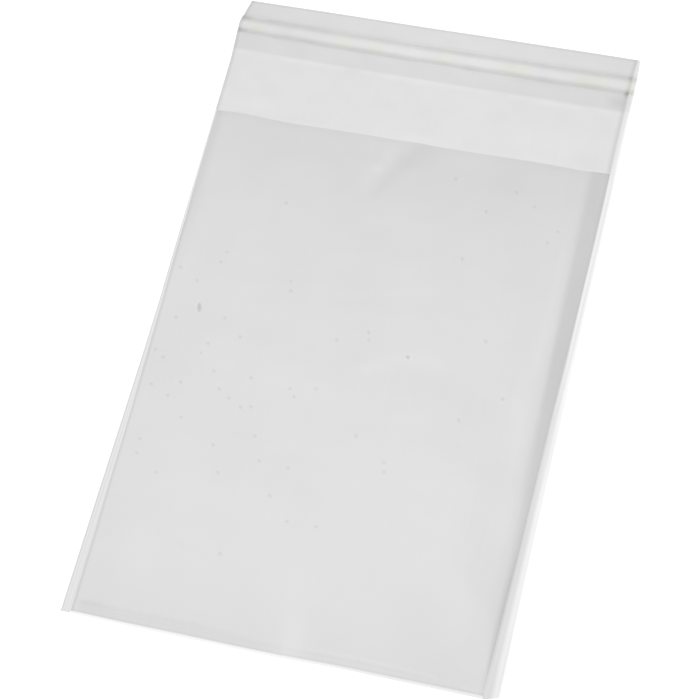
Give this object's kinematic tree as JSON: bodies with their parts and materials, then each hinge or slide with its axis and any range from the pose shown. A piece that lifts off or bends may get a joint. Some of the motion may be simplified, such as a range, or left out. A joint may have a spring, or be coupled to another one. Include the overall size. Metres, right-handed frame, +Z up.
{
  "type": "clear film bag",
  "caption": "Flat rectangular pocket of clear film with a folded bottom, welded sides and an open flap that carries an adhesive line under a release liner, for packing cards and prints.",
  "frame": {"origin": "middle of the bag's outline, on the surface it lies on", "axes": "+X across the bag, +Y from the bottom fold to the flap's free edge, +Z up out of the front panel"},
  "size_m": [0.1246, 0.212, 0.0063],
  "materials": {
    "film": "clear glossy film, faint grey",
    "adhesive": "clear tacky adhesive with a pale yellow cast",
    "liner": "clear glossy film strip"
  },
  "bodies": {
    "root": {"bag_film": "film", "adhesive_strip": "adhesive", "release_liner": "liner"}
  },
  "joints": []
}
